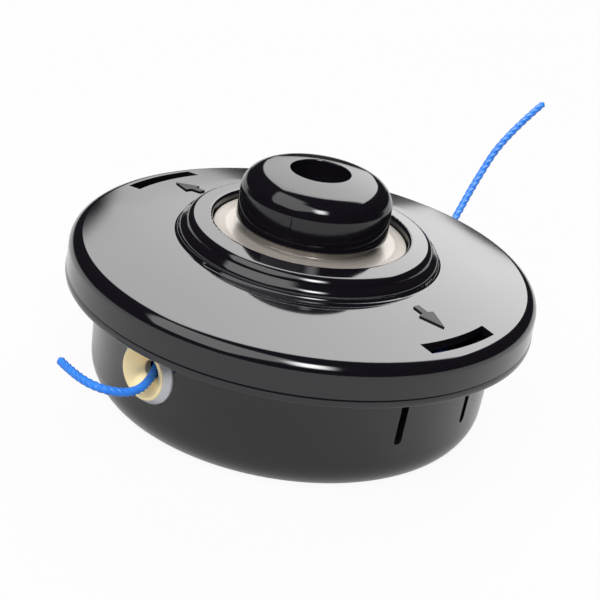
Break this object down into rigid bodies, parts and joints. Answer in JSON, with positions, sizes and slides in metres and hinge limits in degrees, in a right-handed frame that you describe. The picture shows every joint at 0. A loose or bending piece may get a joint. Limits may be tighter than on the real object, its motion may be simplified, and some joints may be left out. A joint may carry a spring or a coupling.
{
  "type": "trimmer head",
  "caption": "Tap-feed line trimmer head: skirted disc cover with stepped collar, drum housing with brass line eyelets, sprung line spool and a free-spinning domed tap knob.",
  "frame": {"origin": "centre of the flat machine-side base face, on the spin axis", "axes": "+Z along the spin axis from the machine side to the tap knob, +X to the right and +Y to the back as the head is seen with one eyelet at the front left"},
  "size_m": [0.139, 0.2215, 0.0687],
  "materials": {
    "black_plastic": "gloss moulded black nylon",
    "knob_plastic": "gloss moulded black nylon, hard wearing",
    "spool_plastic": "plain moulded black nylon",
    "satin_plate": "fine turned satin metal",
    "plain_steel": "plain zinc plated",
    "spring_steel": "oiled spring steel",
    "bearing_steel": "ground and polished",
    "sleeve_steel": "smooth turned steel",
    "eyelet_brass": "smooth turned brass",
    "line_nylon": "twisted blue nylon monofilament"
  },
  "bodies": {
    "head": {"housing": "black_plastic", "cover": "black_plastic", "arbor_nut": "plain_steel", "eyelet_sleeve_front": "sleeve_steel", "eyelet_sleeve_rear": "sleeve_steel", "eyelet_insert_front": "eyelet_brass", "eyelet_insert_rear": "eyelet_brass", "line_tail_front": "line_nylon", "line_tail_rear": "line_nylon"},
    "spring_set": {"spring": "spring_steel", "spring_washer": "plain_steel"},
    "spool_set": {"spool": "spool_plastic", "line_winding_lower": "line_nylon", "line_winding_upper": "line_nylon", "bearing_carrier": "satin_plate", "bearing_outer_ring": "bearing_steel", "carrier_circlip": "spring_steel"},
    "knob_set": {"knob": "knob_plastic", "bearing_inner_ring": "bearing_steel", "stem_circlip": "spring_steel"},
    "ball_set": {"bearing_balls": "bearing_steel", "bearing_cage": "plain_steel"}
  },
  "joints": [
    {"name": "tap_slide", "type": "slide", "parent": "spring_set", "child": "spool_set", "axis": [0, 0, -1], "range_m": [0, 0.006], "stiffness_N_per_m": 2000, "springref_m": -0.008, "deforming": ["spring"]},
    {"name": "spool_turn", "type": "hinge", "parent": "head", "child": "spring_set", "pos_m": [0, 0, 0.02], "axis": [0, 0, 1], "range_deg": [0, 30.5]},
    {"name": "knob_spin", "type": "hinge", "parent": "spool_set", "child": "knob_set", "pos_m": [0, 0, 0.05], "axis": [0, 0, 1], "continuous": true},
    {"name": "ball_roll", "type": "hinge", "parent": "spool_set", "child": "ball_set", "pos_m": [0, 0, 0.0503], "axis": [0, 0, 1], "continuous": true}
  ],
  "couplings": [
    {"joint": "spool_turn", "follows": "tap_slide", "rad_per_m": 87.266},
    {"joint": "ball_roll", "follows": "knob_spin", "ratio": 0.4385}
  ]
}
